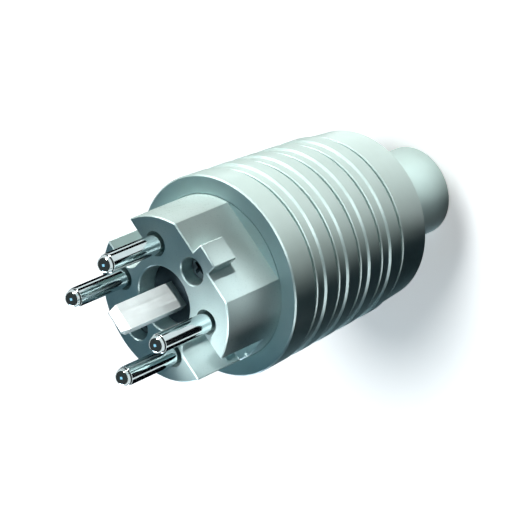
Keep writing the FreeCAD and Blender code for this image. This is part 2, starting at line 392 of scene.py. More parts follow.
def start_ring(name, radius, height, centre=(0.0, 0.0), filled=False, steps=turn_steps, turn=0.0):
    """Adds a ring of points to be drawn out into a turned piece, in edit mode."""
    deselect_everything()
    bpy.ops.mesh.primitive_circle_add(
        vertices=steps,
        radius=radius * MM,
        fill_type="NGON" if filled else "NOTHING",
        location=(centre[0] * MM, centre[1] * MM, height * MM),
        rotation=(0.0, 0.0, turn),
    )
    piece = bpy.context.object
    piece.name = name
    bpy.ops.object.transform_apply(location=True, rotation=True, scale=True)
    bpy.ops.object.mode_set(mode="EDIT")
    bpy.ops.mesh.select_all(action="SELECT")
    return piece


def draw_out(profile, centre=(0.0, 0.0)):
    """Extrudes the selected ring through each further radius and height of a profile."""
    for (radius, height), (next_radius, next_height) in zip(profile, profile[1:]):
        rise = (0.0, 0.0, (next_height - height) * MM)
        bpy.ops.mesh.extrude_region_move(TRANSFORM_OT_translate={"value": rise})
        share = next_radius / radius
        middle = (centre[0] * MM, centre[1] * MM, next_height * MM)
        bpy.ops.transform.resize(value=(share, share, 1.0), center_override=middle)


def close_round():
    """Joins the two open ends of a hollow turned piece."""
    bpy.ops.mesh.select_all(action="DESELECT")
    bpy.ops.mesh.select_non_manifold()
    bpy.ops.mesh.bridge_edge_loops()


def finish_mesh(piece):
    """Merges doubles, points the faces outwards and leaves edit mode."""
    if bpy.context.object != piece or piece.mode != "EDIT":
        make_active(piece)
        bpy.ops.object.mode_set(mode="EDIT")
    bpy.ops.mesh.select_all(action="SELECT")
    bpy.ops.mesh.remove_doubles(threshold=0.001 * MM)
    bpy.ops.mesh.normals_make_consistent(inside=False)
    bpy.ops.object.mode_set(mode="OBJECT")


def turned_solid(name, profile, centre=(0.0, 0.0), steps=64):
    """A turned piece with both ends closed."""
    piece = start_ring(name, *profile[0], centre, filled=True, steps=steps)
    draw_out(profile, centre)
    finish_mesh(piece)
    return piece


def turned_tube(name, profile, centre=(0.0, 0.0), steps=turn_steps):
    """A turned piece whose profile goes all the way round a hollow."""
    piece = start_ring(name, *profile[0], centre, steps=steps)
    draw_out(profile, centre)
    close_round()
    finish_mesh(piece)
    return piece


def add_block(name, x, y, z):
    """A block between two limits on each axis, to be shaped further."""
    deselect_everything()
    size = [(high - low) * MM for low, high in (x, y, z)]
    middle = [(low + high) / 2 * MM for low, high in (x, y, z)]
    bpy.ops.mesh.primitive_cube_add(size=1.0, location=middle, scale=size)
    piece = bpy.context.object
    piece.name = name
    bpy.ops.object.transform_apply(location=True, rotation=True, scale=True)
    return piece


def select_where(piece, kind, test):
    """In edit mode, selects the faces or edges whose middle and direction pass a test."""
    mesh = bmesh.from_edit_mesh(piece.data)
    bpy.ops.mesh.select_all(action="DESELECT")
    bpy.context.tool_settings.mesh_select_mode = (False, kind == "edges", kind == "faces")
    if kind == "faces":
        for face in mesh.faces:
            face.select_set(test(face.calc_center_median() / MM, face.normal))
    else:
        for edge in mesh.edges:
            ends = [corner.co for corner in edge.verts]
            middle = (ends[0] + ends[1]) / 2
            edge.select_set(test(middle / MM, (ends[1] - ends[0]).normalized()))
    mesh.select_flush_mode()
    bmesh.update_edit_mesh(piece.data)


def combine(piece, other, operation):
    """Cuts a tool from a piece or adds it, and removes the tool."""
    make_active(piece)
    change = piece.modifiers.new("Combine", "BOOLEAN")
    change.operation = operation
    # This solver gives the same mesh on every run
    change.solver = "MANIFOLD"
    change.object = other
    bpy.ops.object.modifier_apply(modifier=change.name)
    bpy.data.objects.remove(other)


def round_edges(piece, width, segments=2, angle=35.0):
    """Rounds a piece's sharp edges, or chamfers them when there is one segment."""
    make_active(piece)
    rounding = piece.modifiers.new("Round", "BEVEL")
    rounding.width = width
    rounding.segments = segments
    rounding.limit_method = "ANGLE"
    rounding.angle_limit = math.radians(angle)
    rounding.use_clamp_overlap = False
    bpy.ops.object.modifier_apply(modifier=rounding.name)


def settle(piece, material, slot, *nodes):
    """Smooths a finished piece, gives it its material and sets it in the frame."""
    make_active(piece)
    bpy.ops.object.shade_smooth_by_angle(angle=math.radians(40.0))
    even = piece.modifiers.new("Even", "WEIGHTED_NORMAL")
    even.keep_sharp = True
    bpy.ops.object.modifier_apply(modifier=even.name)
    piece.data.name = piece.name
    piece.data.materials.clear()
    piece.data.materials.append(material)
    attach(piece, "root")
    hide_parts(*nodes)


def copy_to(piece, name, x, y):
    """A copy with its own mesh, moved sideways, its place kept in the mesh."""
    make_active(piece)
    bpy.ops.object.duplicate(linked=False)
    copy = bpy.context.object
    copy.name = name
    bpy.ops.transform.translate(value=(x * MM, y * MM, 0.0))
    bpy.ops.object.transform_apply(location=True, rotation=True, scale=True)
    return copy


def add_node(tree, kind, settings=None, links=None):
    """Adds one node, with its settings and the outputs that feed it."""
    node = tree.nodes.new(kind)
    for name, value in (settings or {}).items():
        if name in node.inputs:
            node.inputs[name].default_value = value
        else:
            setattr(node, name, value)
    for name, output in (links or {}).items():
        tree.links.new(output, node.inputs[name])
    return node


def new_material(name):
    """An empty node material with its output, its surface shader and object coordinates."""
    material = bpy.data.materials.get(name)
    if material:
        bpy.data.materials.remove(material)
    material = bpy.data.materials.new(name)
    material.use_nodes = True
    tree = material.node_tree
    tree.nodes.clear()
    place = add_node(tree, "ShaderNodeTexCoord").outputs["Object"]
    surface = add_node(tree, "ShaderNodeBsdfPrincipled")
    add_node(tree, "ShaderNodeOutputMaterial", links={"Surface": surface.outputs["BSDF"]})
    return material, tree, surface, place


def tinted(colour, share):
    """A colour made lighter or darker by a share."""
    return tuple(min(1.0, value * share) for value in colour[:3]) + (1.0,)


def moulded_plastic(name, colour, roughness, grain_mm, gloss_level=0.45):
    """Injection-moulded plastic with a fine spark-eroded grain.

    The grain breaks up the highlights, and slow changes of shade show where the melt flowed.
    """
    material, tree, surface, place = new_material(name)
    flow = add_node(
        tree,
        "ShaderNodeTexNoise",
        {"Scale": 1 / (14 * MM), "Detail": 3.0, "Roughness": 0.55},
        {"Vector": place},
    )
    shades = add_node(tree, "ShaderNodeValToRGB", links={"Fac": flow.outputs["Fac"]})
    shades.color_ramp.elements[0].position = 0.3
    shades.color_ramp.elements[0].color = tinted(colour, 0.93)
    shades.color_ramp.elements[1].position = 0.7
    shades.color_ramp.elements[1].color = tinted(colour, 1.05)
    grain = add_node(
        tree,
        "ShaderNodeTexNoise",
        {"Scale": 1 / (grain_mm * MM), "Detail": 2.0, "Roughness": 0.6},
        {"Vector": place},
    )
    relief = add_node(
        tree,
        "ShaderNodeBump",
        {"Strength": 0.25, "Distance": 0.02 * MM},
        {"Height": grain.outputs["Fac"]},
    )
    gloss = add_node(
        tree,
        "ShaderNodeMapRange",
        {"From Min": 0.3, "From Max": 0.7, "To Min": roughness - 0.04, "To Max": roughness + 0.05},
        {"Value": grain.outputs["Fac"]},
    )
    surface.inputs["IOR"].default_value = 1.53
    surface.inputs["Specular IOR Level"].default_value = gloss_level
    tree.links.new(shades.outputs["Color"], surface.inputs["Base Color"])
    tree.links.new(gloss.outputs["Result"], surface.inputs["Roughness"])
    tree.links.new(relief.outputs["Normal"], surface.inputs["Normal"])
    return material


def worked_metal(name, colour, roughness, line_mm, line_stretch, relief_mm):
    """Metal with fine lines left by drawing, turning or brushing along the plug's axis.

    The lines are shorter than a pixel across, so they are drawn a little coarser than real ones.
    """
    material, tree, surface, place = new_material(name)
    across = 1 / (line_mm * MM)
    along = across / line_stretch
    stretch = add_node(tree, "ShaderNodeMapping", {"Scale": (across, across, along)}, {"Vector": place})
    lines = add_node(
        tree,
        "ShaderNodeTexNoise",
        {"Scale": 1.0, "Detail": 3.0, "Roughness": 0.6},
        {"Vector": stretch.outputs["Vector"]},
    )
    blotches = add_node(
        tree,
        "ShaderNodeTexNoise",
        {"Scale": 1 / (4 * MM), "Detail": 3.0},
        {"Vector": place},
    )
    shades = add_node(tree, "ShaderNodeValToRGB", links={"Fac": blotches.outputs["Fac"]})
    shades.color_ramp.elements[0].position = 0.25
    shades.color_ramp.elements[0].color = tinted(colour, 0.92)
    shades.color_ramp.elements[1].position = 0.75
    shades.color_ramp.elements[1].color = tinted(colour, 1.04)
    gloss = add_node(
        tree,
        "ShaderNodeMapRange",
        {"From Min": 0.25, "From Max": 0.75, "To Min": roughness * 0.85, "To Max": roughness * 1.15},
        {"Value": lines.outputs["Fac"]},
    )
    relief = add_node(
        tree,
        "ShaderNodeBump",
        {"Strength": 0.2, "Distance": relief_mm * MM},
        {"Height": lines.outputs["Fac"]},
    )
    surface.inputs["Metallic"].default_value = 1.0
    tree.links.new(shades.outputs["Color"], surface.inputs["Base Color"])
    tree.links.new(gloss.outputs["Result"], surface.inputs["Roughness"])
    tree.links.new(relief.outputs["Normal"], surface.inputs["Normal"])
    return material


def land_radius(height):
    """The housing's radius on its lands, which taper towards the rear."""
    last_step = first_step - groove_count * rib_pitch
    share = (height - last_step) / (housing_front - last_step)
    return land_rear_radius + share * (rim_radius - land_rear_radius)


def groove_profile(step, depth, notch, ramp):
    """One groove: a step down into a fine notch, a flat floor and a short ramp up to the next land."""
    notch_rear = step - notch_width
    land_start = step - groove_length
    ramp_start = land_start + ramp
    return [
        (land_radius(step), step),
        (land_radius(step) - depth - notch, step),
        (land_radius(notch_rear) - depth - notch, notch_rear),
        (land_radius(notch_rear) - depth, notch_rear),
        (land_radius(ramp_start) - depth, ramp_start),
        (land_radius(land_start), land_start),
    ]


def screw_boss(centre):
    """A boss on the housing's inner wall, and the bore for its threaded insert."""
    # The web ends a hair lower than the boss, which ends a hair below the seat, so no faces coincide
    boss_top = carrier_seat - 0.01
    web_top = carrier_seat - 0.02
    boss = turned_solid("boss", [(boss_radius, boss_low), (boss_radius, boss_top)], centre, steps=48)
    web_reach = sorted((centre[1], math.copysign(cavity_front_radius + 0.3, centre[1])))
    web = add_block("web", (-boss_half_web, boss_half_web), web_reach, (boss_low, web_top))
    combine(boss, web, "UNION")
    profile = [(screw_way_radius, boss_low - overshoot), (screw_way_radius, insert_low)]
    profile += [(insert_bore_radius, insert_low), (insert_bore_radius, carrier_seat + overshoot)]
    return boss, turned_solid("bore", profile, centre, steps=48)


def housing_profile(sizes):
    """The housing's wall: its front ring, its ribbed side, its rear and then its cavity."""
    notch = sizes.notch_depth / MM
    profile = [
        (mouth_radius, housing_front),
        (rim_radius - rim_chamfer, housing_front),
        (rim_radius, housing_front - rim_chamfer),
    ]
    for index in range(groove_count):
        step = first_step - index * rib_pitch
        profile += groove_profile(step, sizes.groove_depth / MM, notch, sizes.ramp_length / MM)
    last_step = first_step - groove_count * rib_pitch
    profile += [
        (land_rear_radius, last_step),
        (band_front_radius - notch, last_step),
        (band_front_radius - notch, last_step - notch_width),
        (band_front_radius, last_step - notch_width),
        (band_rear_radius, housing_rear),
        (outlet_hole_radius, housing_rear),
        (outlet_hole_radius, housing_floor),
        (cavity_rear_radius, housing_floor),
        (cavity_front_radius, carrier_seat),
        (mouth_radius, carrier_seat),
    ]
    return profile


class PLUG_OT_make_housing(bpy.types.Operator):
    """Model the ribbed housing with its bosses"""

    bl_idname = "plug.make_housing"
    bl_label = "Housing"

    def execute(self, context):
        sizes = context.scene.plug_sizes
        shell = turned_tube(housing_name, housing_profile(sizes))
        round_edges(shell, sizes.housing_edge, segments=1, angle=50.0)
        for centre in screw_places:
            boss, bore = screw_boss(centre)
            combine(shell, boss, "UNION")
            combine(shell, bore, "DIFFERENCE")
        # Glass-filled polyamide, moulded with a fine grain: soft broad highlights
        material = moulded_plastic("moulded_polyamide", context.scene.plug_colours.housing, 0.32, 0.5)
        settle(shell, material, "housing_plastic", "housing")
        return {"FINISHED"}


def outlet_profile():
    """The outlet's wall: its flange, its neck, its flare and then its bore with the belled mouth."""
    flange_top = housing_floor + flange_height
    profile = [
        (cable_radius, flange_top),
        (flange_radius, flange_top),
        (flange_radius, housing_floor),
        (outlet_neck_radius, housing_floor),
        (outlet_neck_radius, housing_rear),
        (outlet_root_radius, housing_rear),
    ]
    flare = outlet_end_radius - outlet_root_radius
    flare_rings = 14
    for index in range(1, flare_rings + 1):
        share = index / flare_rings
        waist = outlet_waist * math.sin(math.pi * min(1.0, share * 1.6))
        radius = outlet_root_radius + flare * share * share * (3 - 2 * share) - waist
        profile.append((radius, housing_rear + (outlet_straight - housing_rear) * share))
    profile += [(outlet_end_radius, 0.0), (cable_mouth_radius, 0.0)]
    bell = cable_mouth_radius - cable_radius
    mouth_rings = 6
    for index in range(1, mouth_rings + 1):
        share = index / mouth_rings
        radius = cable_mouth_radius - bell * math.sin(share * math.pi / 2)
        profile.append((radius, cable_mouth_depth * share))
    return profile


class PLUG_OT_make_cable_outlet(bpy.types.Operator):
    """Model the flared cable outlet with its inner flange"""

    bl_idname = "plug.make_cable_outlet"
    bl_label = "Cable outlet"

    def execute(self, context):
        outlet = turned_tube(outlet_name, outlet_profile(), steps=128)
        round_edges(outlet, 0.45 * MM, segments=3)
        # Softer moulded plastic than the housing, with a duller skin
        material = moulded_plastic("moulded_soft_plastic", context.scene.plug_colours.outlet, 0.42, 0.6, 0.2)
        settle(outlet, material, "outlet_plastic", "cable_outlet")
        return {"FINISHED"}


def carrier_body():
    """The carrier's round body with its flat, its key and its squared front face."""
    half_step = math.pi / turn_steps
    half_key = key_width / 2
    # The body starts inside the housing's mouth and is cut square at the face after the key is joined
    foot = housing_front - 1.0
    spare_face = carrier_face + 2.0
    body = start_ring(carrier_name, carrier_radius, foot, filled=True, turn=half_step)
    draw_out([(carrier_radius, foot), (carrier_radius, spare_face)])
    finish_mesh(body)
    flat = add_block("flat", (-30, 30), (-30, -flat_distance), (foot - 1, spare_face + 1))
    combine(body, flat, "DIFFERENCE")
    key_low = carrier_face - key_length
    key = add_block("key", (-half_key, half_key), (-key_outer, -15), (key_low, spare_face - 0.5))
    combine(body, key, "UNION")
    cap = add_block("cap", (-30, 30), (-30, 30), (carrier_face, spare_face + 1))
    combine(body, cap, "DIFFERENCE")
    return body


def slot_tool(side):
    """The space of a guide slot, with its two inner corners rounded."""
    x_limits = sorted((side * slot_floor, side * 30))
    half_slot = slot_width / 2
    tool = add_block("slot", x_limits, (-half_slot, half_slot), (slot_end, carrier_face + 3))
    make_active(tool)
    bpy.ops.object.mode_set(mode="EDIT")
    floor_x = side * slot_floor
    select_where(
        tool,
        "edges",
        lambda middle, direction: abs(middle.x - floor_x) < 0.1 and abs(direction.z) > 0.9,
    )
    bpy.ops.mesh.bevel(offset=slot_corner * MM, segments=10, affect="EDGES")
    bpy.ops.object.mode_set(mode="OBJECT")
    return tool


def cut_round(piece, profile, centre, steps):
    """Cuts a turned hole from a piece."""
    combine(piece, turned_solid("hole", profile, centre, steps=steps), "DIFFERENCE")


def blade_slot_tool(low, high):
    """The space round the blade where it passes through another piece."""
    return add_block(
        "blade_slot",
        (-blade_half_width - blade_gap, blade_half_width + blade_gap),
        (blade_near - blade_gap, blade_far + blade_gap),
        (low, high),
    )


def cut_front(carrier):
    """Cuts the guide slots, the round recess and the two screw recesses."""
    above = carrier_face + overshoot
    for side in (-1, 1):
        combine(carrier, slot_tool(side), "DIFFERENCE")
    cut_round(carrier, [(recess_radius, plate_low), (recess_radius, above)], (0, 0), 96)
    for centre in screw_places:
        recess = [(screw_recess_radius, screw_seat), (screw_recess_radius, above)]
        cut_round(carrier, recess, centre, 56)


def cut_through(carrier):
    """Cuts the bores of the pins, the ways of the screws and the slot of the blade."""
    below = carrier_seat - overshoot
    for centre in pin_places:
        bore = [(pin_bore_radius, below), (pin_bore_radius, shank_top)]
        bore += [(pin_bore_mouth, shank_top), (pin_bore_mouth, carrier_face + overshoot)]
        cut_round(carrier, bore, centre, 64)
    for centre in screw_places:
        way = [(screw_way_radius, below), (screw_way_radius, screw_seat + overshoot)]
        cut_round(carrier, way, centre, 40)
    combine(carrier, blade_slot_tool(below, plate_low + overshoot), "DIFFERENCE")


class PLUG_OT_make_contact_carrier(bpy.types.Operator):
    """Model the contact carrier with its flat, key, slots, recess and holes"""

    bl_idname = "plug.make_contact_carrier"
    bl_label = "Contact carrier"

    def execute(self, context):
        carrier = carrier_body()
        cut_front(carrier)
        round_edges(carrier, context.scene.plug_sizes.carrier_edge, segments=1)
        base = [(base_radius, carrier_seat), (base_radius, housing_front)]
        combine(carrier, turned_solid("base", base, steps=turn_steps), "UNION")
        cut_through(carrier)
        finish_mesh(carrier)
        # Moulded insulating plastic, a touch glossier than the housing
        material = moulded_plastic("moulded_insulator", context.scene.plug_colours.carrier, 0.3, 0.45)
        settle(carrier, material, "carrier_plastic", "contact_carrier")
        return {"FINISHED"}


def pin_profile(dome):
    """A pin from the end of its tail to its round tip."""
    dome_base = pin_tip - dome
    profile = [
        (tail_radius, pin_tail),
        (tail_radius, collar_low),
        (collar_radius, collar_low),
        (collar_radius, carrier_seat),
        (shank_radius, carrier_seat),
        (shank_radius, shank_top),
        (pin_radius, shank_top),
        (pin_radius, dome_base - pin_shoulder),
        (pin_radius - 0.06, dome_base - pin_shoulder / 2),
        (dome, dome_base),
    ]
    dome_rings = 12
    for index in range(1, dome_rings):
        angle = index / dome_rings * math.pi / 2
        profile.append((dome * math.cos(angle), dome_base + dome * math.sin(angle)))
    profile.append((0.02, pin_tip))
    return profile


class PLUG_OT_make_pins(bpy.types.Operator):
    """Model the four round pins"""

    bl_idname = "plug.make_pins"
    bl_label = "Pins"

    def execute(self, context):
        dome = context.scene.plug_sizes.pin_dome / MM
        first = turned_solid("round_pin_1", pin_profile(dome), pin_places[0], steps=72)
        round_edges(first, 0.08 * MM)
        pins = [first]
        for number, (x, y) in enumerate(pin_places[1:], 2):
            shift = (x - pin_places[0][0], y - pin_places[0][1])
            pins.append(copy_to(first, "round_pin_%d" % number, *shift))
        # Brass rod under bright nickel plate: mirror streaks along the pin
        colour = context.scene.plug_colours.bright_nickel
        material = worked_metal("bright_nickel_plate", colour, 0.1, 0.5, 60, 0.0005)
        for number, pin in enumerate(pins, 1):
            settle(pin, material, "plated_pin", "pin_%d" % number)
        return {"FINISHED"}


def step_up(shares, rise):
    """Widens or narrows the selected top face on its own plane, then draws it up."""
    bpy.ops.mesh.extrude_region_move(TRANSFORM_OT_translate={"value": (0, 0, 0)})
    bpy.ops.transform.resize(value=(shares[0], shares[1], 1.0))
    bpy.ops.mesh.extrude_region_move(TRANSFORM_OT_translate={"value": (0, 0, rise * MM)})


def taper_up(shares, rise):
    """Draws the selected top face up and narrows it."""
    bpy.ops.mesh.extrude_region_move(TRANSFORM_OT_translate={"value": (0, 0, rise * MM)})
    bpy.ops.transform.resize(value=(shares[0], shares[1], 1.0))


class PLUG_OT_make_earth_blade(bpy.types.Operator):
    """Model the flat earth blade with its bevelled tip"""

    bl_idname = "plug.make_earth_blade"
    bl_label = "Earth blade"

    def execute(self, context):
        bevel = context.scene.plug_sizes.blade_bevel / MM
        limits_x = (-blade_half_width, blade_half_width)
        blade = add_block("flat_earth_blade", limits_x, (blade_near, blade_far), (pin_tail, collar_low))
        bpy.ops.object.mode_set(mode="EDIT")
        select_where(blade, "faces", lambda middle, normal: normal.z > 0.9)
        thickness = blade_far - blade_near
        wide = (blade_half_width + blade_flange) / blade_half_width
        thick = (thickness + 2 * blade_flange) / thickness
        step_up((wide, thick), carrier_seat - collar_low)
        step_up((1 / wide, 1 / thick), blade_tip - bevel - carrier_seat)
        taper_up((0.81, 0.07), bevel)
        finish_mesh(blade)
        round_edges(blade, 0.1 * MM)
        # Flat brass bar under satin nickel plate: soft sheen with faint drawing lines
        colour = context.scene.plug_colours.nickel
        material = worked_metal("satin_nickel_plate", colour, 0.6, 0.6, 30, 0.001)
        settle(blade, material, "plated_blade", "earth_blade")
        return {"FINISHED"}


class PLUG_OT_make_earth_plate(bpy.types.Operator):
    """Model the steel plate on the floor of the recess"""

    bl_idname = "plug.make_earth_plate"
    bl_label = "Earth plate"

    def execute(self, context):
        profile = [
            (plate_radius, plate_low),
            (plate_radius, plate_top - plate_edge),
            (plate_radius - plate_edge, plate_top),
        ]
        plate = turned_solid("recess_earth_plate", profile, steps=96)
        combine(plate, blade_slot_tool(plate_low - overshoot, plate_top + overshoot), "DIFFERENCE")
        finish_mesh(plate)
        round_edges(plate, 0.08 * MM)
        # Pressed steel, dark and dull, its colour made darker still as painted shade for the recess; soft
        # broad sheen
        material = worked_metal("dark_steel_painted_recess_shade", context.scene.plug_colours.plate, 0.5, 0.8, 1, 0.002)
        settle(plate, material, "plate_steel", "earth_plate")
        return {"FINISHED"}


def screw_profile(head_top):
    """A fixing screw from its tip, ring by ring up its thread, to its rounded head."""
    profile = []
    for index in range(int((carrier_seat - screw_tip) / thread_pitch)):
        height = screw_tip + index * thread_pitch
        profile += [(screw_radius - thread_depth, height), (screw_radius, height + thread_pitch / 2)]
    return profile + [
        (screw_radius, carrier_seat),
        (screw_radius, screw_seat),
        (screw_head_radius, screw_seat),
        (screw_head_radius, head_top - 0.7),
        (screw_head_radius - 0.35, head_top - 0.25),
        (screw_head_radius - 1.0, head_top),
    ]


def recess_arm(half_x, half_y, centre, head_top):
    """One arm of the cross recess in a screw head, narrower at its floor."""
    x_limits = (centre[0] - half_x, centre[0] + half_x)
    y_limits = (centre[1] - half_y, centre[1] + half_y)
    arm = add_block("arm", x_limits, y_limits, (head_top - cross_depth, head_top + 0.5))
    make_active(arm)
    bpy.ops.object.mode_set(mode="EDIT")
    select_where(arm, "faces", lambda middle, normal: normal.z < -0.9)
    bpy.ops.transform.resize(value=(0.55, 0.55, 1.0))
    bpy.ops.object.mode_set(mode="OBJECT")
    return arm


class PLUG_OT_make_fixing_screws(bpy.types.Operator):
    """Model the two sunk fixing screws"""

    bl_idname = "plug.make_fixing_screws"
    bl_label = "Fixing screws"

    def execute(self, context):
        centre, other_centre = screw_places
        head_top = screw_seat + screw_head_height
        screw = turned_solid("sunk_fixing_screw_1", screw_profile(head_top), centre, steps=48)
        for half_x, half_y in cross_arms:
            combine(screw, recess_arm(half_x, half_y, centre, head_top), "DIFFERENCE")
        finish_mesh(screw)
        screws = [screw, copy_to(screw, "sunk_fixing_screw_2", 0.0, other_centre[1] - centre[1])]
        # Dark steel, its colour darkened as painted shade for the screw recess, with bright edges where it
        # catches the light
        material = worked_metal("dark_steel_painted_screw_shade", linear("59646A"), 0.32, 0.6, 1, 0.001)
        for number, piece in enumerate(screws, 1):
            settle(piece, material, "screw_steel", "fixing_screw_%d" % number)
        return {"FINISHED"}


class PLUG_OT_dress_inner_pieces(bpy.types.Operator):
    """Give the pieces inside the housing their finishes"""

    bl_idname = "plug.dress_inner_pieces"
    bl_label = "Inner pieces"

    def execute(self, context):
        # Turned brass: warm and bright, with fine tool lines
        brass = worked_metal("turned_brass", linear("D9B65E"), 0.22, 0.3, 1, 0.005)
        # Black polyamide of the cord clamp, duller than the housing
        black = moulded_plastic("moulded_black_polyamide", linear("2B2F30"), 0.5, 0.5)
        # Zinc-plated steel: bright but a little grey
        steel = worked_metal("zinc_plated_steel", linear("A9B4B8"), 0.3, 0.6, 1, 0.001)
        finishes = {"threaded": brass, "pin_terminal": brass, "earth_terminal": brass}
        finishes.update({"cord": black, "clamp": steel, "terminal": steel, "earth_terminal_screw": steel})
        # A node takes the finish of the longest start of a name that fits it
        for name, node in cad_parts.items():
            starts = [start for start in finishes if name.startswith(start)]
            if starts:
                node.data.materials.clear()
                node.data.materials.append(finishes[max(starts, key=len)])
        return {"FINISHED"}


def aim(thing, place, target, roll=0.0):
    """Puts a lamp, card or camera at a place and turns it towards a target."""
    place = Vector(place)
    turn = (Vector(target) - place).to_track_quat("-Z", "Y")
    turned = turn.to_matrix().to_4x4() @ Matrix.Rotation(roll, 4, "Z")
    thing.matrix_world = Matrix.Translation(place) @ turned


def around(azimuth, elevation, distance=lamp_distance):
    """A place round the plug, by its angles in degrees and its distance in metres."""
    turn, rise = math.radians(azimuth), math.radians(elevation)
    flat = distance * math.cos(rise)
    return flat * math.cos(turn), flat * math.sin(turn), plug_middle + distance * math.sin(rise)


def light_only(lamp, pieces):
    """Lets a lamp light the named pieces alone."""
    chosen = bpy.data.collections.new(lamp.name)
    for name in pieces:
        chosen.objects.link(bpy.data.objects[name])
    lamp.light_linking.receiver_collection = chosen


def add_lamp(name, place, size, power, colour="FFFFFF", pieces=()):
    """A soft rectangular lamp that looks at the plug, for every piece or for some alone."""
    data = bpy.data.lights.new(name, "AREA")
    data.shape = "RECTANGLE"
    data.size, data.size_y = size
    data.energy = power
    data.color = linear(colour)[:3]
    lamp = bpy.data.objects.new(name, data)
    bpy.context.scene.collection.objects.link(lamp)
    aim(lamp, place, (0.0, 0.0, plug_middle))
    lamp.visible_camera = False
    if pieces:
        light_only(lamp, pieces)
    return lamp


def add_accent(name, direction, target, reach, power, piece):
    """A narrow soft-edged light on one piece, its target and reach in millimetres."""
    data = bpy.data.lights.new(name, "SPOT")
    data.energy = power
    data.spot_size = 2 * math.atan(reach * MM / accent_distance)
    data.spot_blend = 1.0
    data.shadow_soft_size = 0.006
    lamp = bpy.data.objects.new(name, data)
    bpy.context.scene.collection.objects.link(lamp)
    target = Vector(target) * MM
    shift = Vector(around(*direction, accent_distance)) - Vector((0.0, 0.0, plug_middle))
    aim(lamp, target + shift, target)
    light_only(lamp, [piece])


def add_floor_light(azimuth, elevation, strength, floor):
    """A high, broad light on the floor alone, for the plug's soft shadow."""
    data = bpy.data.lights.new("floor_light", "SUN")
    data.energy = strength
    data.angle = math.radians(20.0)
    lamp = bpy.data.objects.new("floor_light", data)
    bpy.context.scene.collection.objects.link(lamp)
    aim(lamp, around(azimuth, elevation, 1.0), (0.0, 0.0, plug_middle))
    light_only(lamp, [floor.name])


def add_dark_card(name, place, size, turn):
    """A black card flat on the floor that shows in reflections, for the dark streaks on the metal."""
    deselect_everything()
    bpy.ops.mesh.primitive_plane_add(size=1.0, location=place, rotation=(0.0, 0.0, math.radians(turn)))
    card = bpy.context.object
    card.name = name
    bpy.ops.transform.resize(value=(size[0], size[1], 1.0), orient_type="LOCAL")
    material = bpy.data.materials.get("black_card") or bpy.data.materials.new("black_card")
    material.use_nodes = True
    surface = material.node_tree.nodes["Principled BSDF"]
    surface.inputs["Base Color"].default_value = linear("050A14")
    surface.inputs["Roughness"].default_value = 1.0
    surface.inputs["Specular IOR Level"].default_value = 0.0
    card.data.materials.append(material)
    card.visible_camera = False
    card.visible_shadow = False
    card.visible_diffuse = False
    card.visible_transmission = False
    return card


def floor_material():
    """A pale floor that the camera and the reflections see as white, and that keeps the shadow."""
    material = bpy.data.materials.new("pale_paper_floor")
    material.use_nodes = True
    tree = material.node_tree
    tree.nodes.clear()
    path = add_node(tree, "ShaderNodeLightPath")
    seen = add_node(
        tree,
        "ShaderNodeMath",
        {"operation": "MAXIMUM"},
        {0: path.outputs["Is Camera Ray"], 1: path.outputs["Is Glossy Ray"]},
    )
    seen_all = add_node(
        tree,
        "ShaderNodeMath",
        {"operation": "MAXIMUM"},
        {0: seen.outputs["Value"], 1: path.outputs["Is Transmission Ray"]},
    )
    paper = add_node(tree, "ShaderNodeBsdfDiffuse", {"Color": linear("F4F6F6")})
    glow = add_node(tree, "ShaderNodeEmission", {"Color": linear("FFFFFF"), "Strength": 0.4})
    white = add_node(
        tree,
        "ShaderNodeAddShader",
        links={0: paper.outputs["BSDF"], 1: glow.outputs["Emission"]},
    )
    bounce = add_node(tree, "ShaderNodeBsdfDiffuse", {"Color": linear("2A3336")})
    mix = add_node(
        tree,
        "ShaderNodeMixShader",
        links={0: seen_all.outputs["Value"], 1: bounce.outputs["BSDF"], 2: white.outputs["Shader"]},
    )
    add_node(tree, "ShaderNodeOutputMaterial", links={"Surface": mix.outputs["Shader"]})
    return material


def set_world(fill, ceiling):
    """An even, cool light from all round, and a grey ceiling that shows only in reflections."""
    scene = bpy.context.scene
    world = scene.world or bpy.data.worlds.new("studio")
    scene.world = world
    world.use_nodes = True
    tree = world.node_tree
    tree.nodes.clear()
    path = add_node(tree, "ShaderNodeLightPath")
    even = add_node(tree, "ShaderNodeBackground", {"Color": linear("7FC0D4"), "Strength": fill})
    above = add_node(tree, "ShaderNodeBackground", {"Color": linear("D8E8EA"), "Strength": ceiling})
    lights = {1: even.outputs["Background"], 2: above.outputs["Background"]}
    mix = add_node(tree, "ShaderNodeMixShader", links={0: path.outputs["Is Glossy Ray"], **lights})
    add_node(tree, "ShaderNodeOutputWorld", links={"Surface": mix.outputs["Shader"]})


def add_floor():
    """The pale floor that the plug stands on."""
    deselect_everything()
    bpy.ops.mesh.primitive_plane_add(size=8.0)
    floor = bpy.context.object
    floor.name = "pale_floor"
    floor.data.materials.append(floor_material())
    return floor


def add_soft_lamps(settings):
    """The key light, its copies for the carrier and the outlet, and the cool top and back lights."""
    lit = [housing_name, "sunk_fixing_screw_1", "sunk_fixing_screw_2", "recess_earth_plate"]
    lit += ["round_pin_%d" % number for number in range(1, 5)]
    add_lamp("key_light", around(-43, 1), key_size, settings.key_power, key_colour, lit)
    add_lamp("front_light", around(-14, 2), key_size, settings.front_power, key_colour, [carrier_name])
    add_lamp("rear_light", around(-42, 2), key_size, settings.rear_power, key_colour, [outlet_name])
    add_lamp("top_light", around(-120, 84, top_distance), (0.2, 0.2), settings.top_power, "A0E0FF")
    add_lamp("back_light", around(110, 2), (0.3, 0.2), settings.back_power, "D4F0FF")


